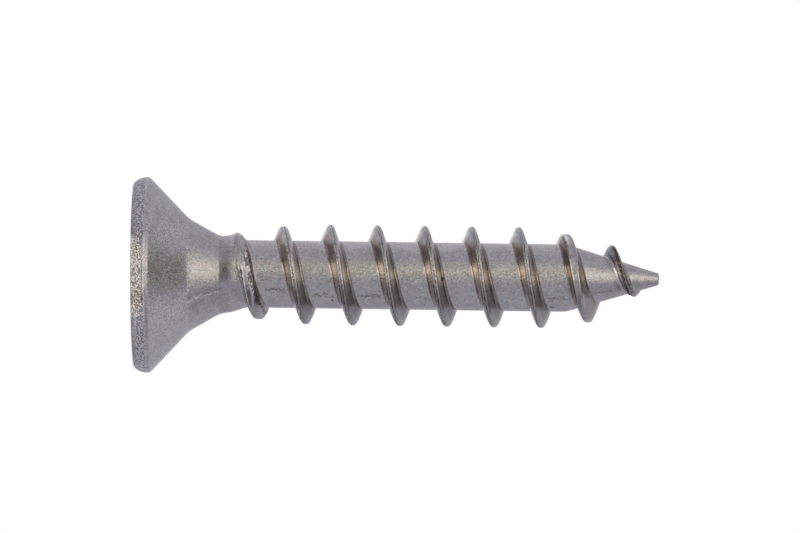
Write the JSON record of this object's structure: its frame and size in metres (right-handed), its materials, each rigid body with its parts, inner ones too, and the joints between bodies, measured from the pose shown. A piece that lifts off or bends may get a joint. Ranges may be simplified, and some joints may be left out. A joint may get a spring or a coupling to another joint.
{
  "type": "chipboard screw",
  "caption": "Short countersunk chipboard screw in plain steel, with a cross recess, a coarse right-hand thread up to the neck and a blunt tapered point.",
  "frame": {"origin": "centre of the head's flat face, on which the screw stands", "axes": "+Z along the head's axis, from the face to the point. The shank leans 0.8 degrees from +Z towards +X. The recess's wings lie along X and Y"},
  "size_m": [0.0092, 0.0092, 0.025],
  "materials": {
    "steel": "satin, as rolled, with a rough rim on the head"
  },
  "bodies": {
    "root": {"screw": "steel"}
  },
  "joints": []
}
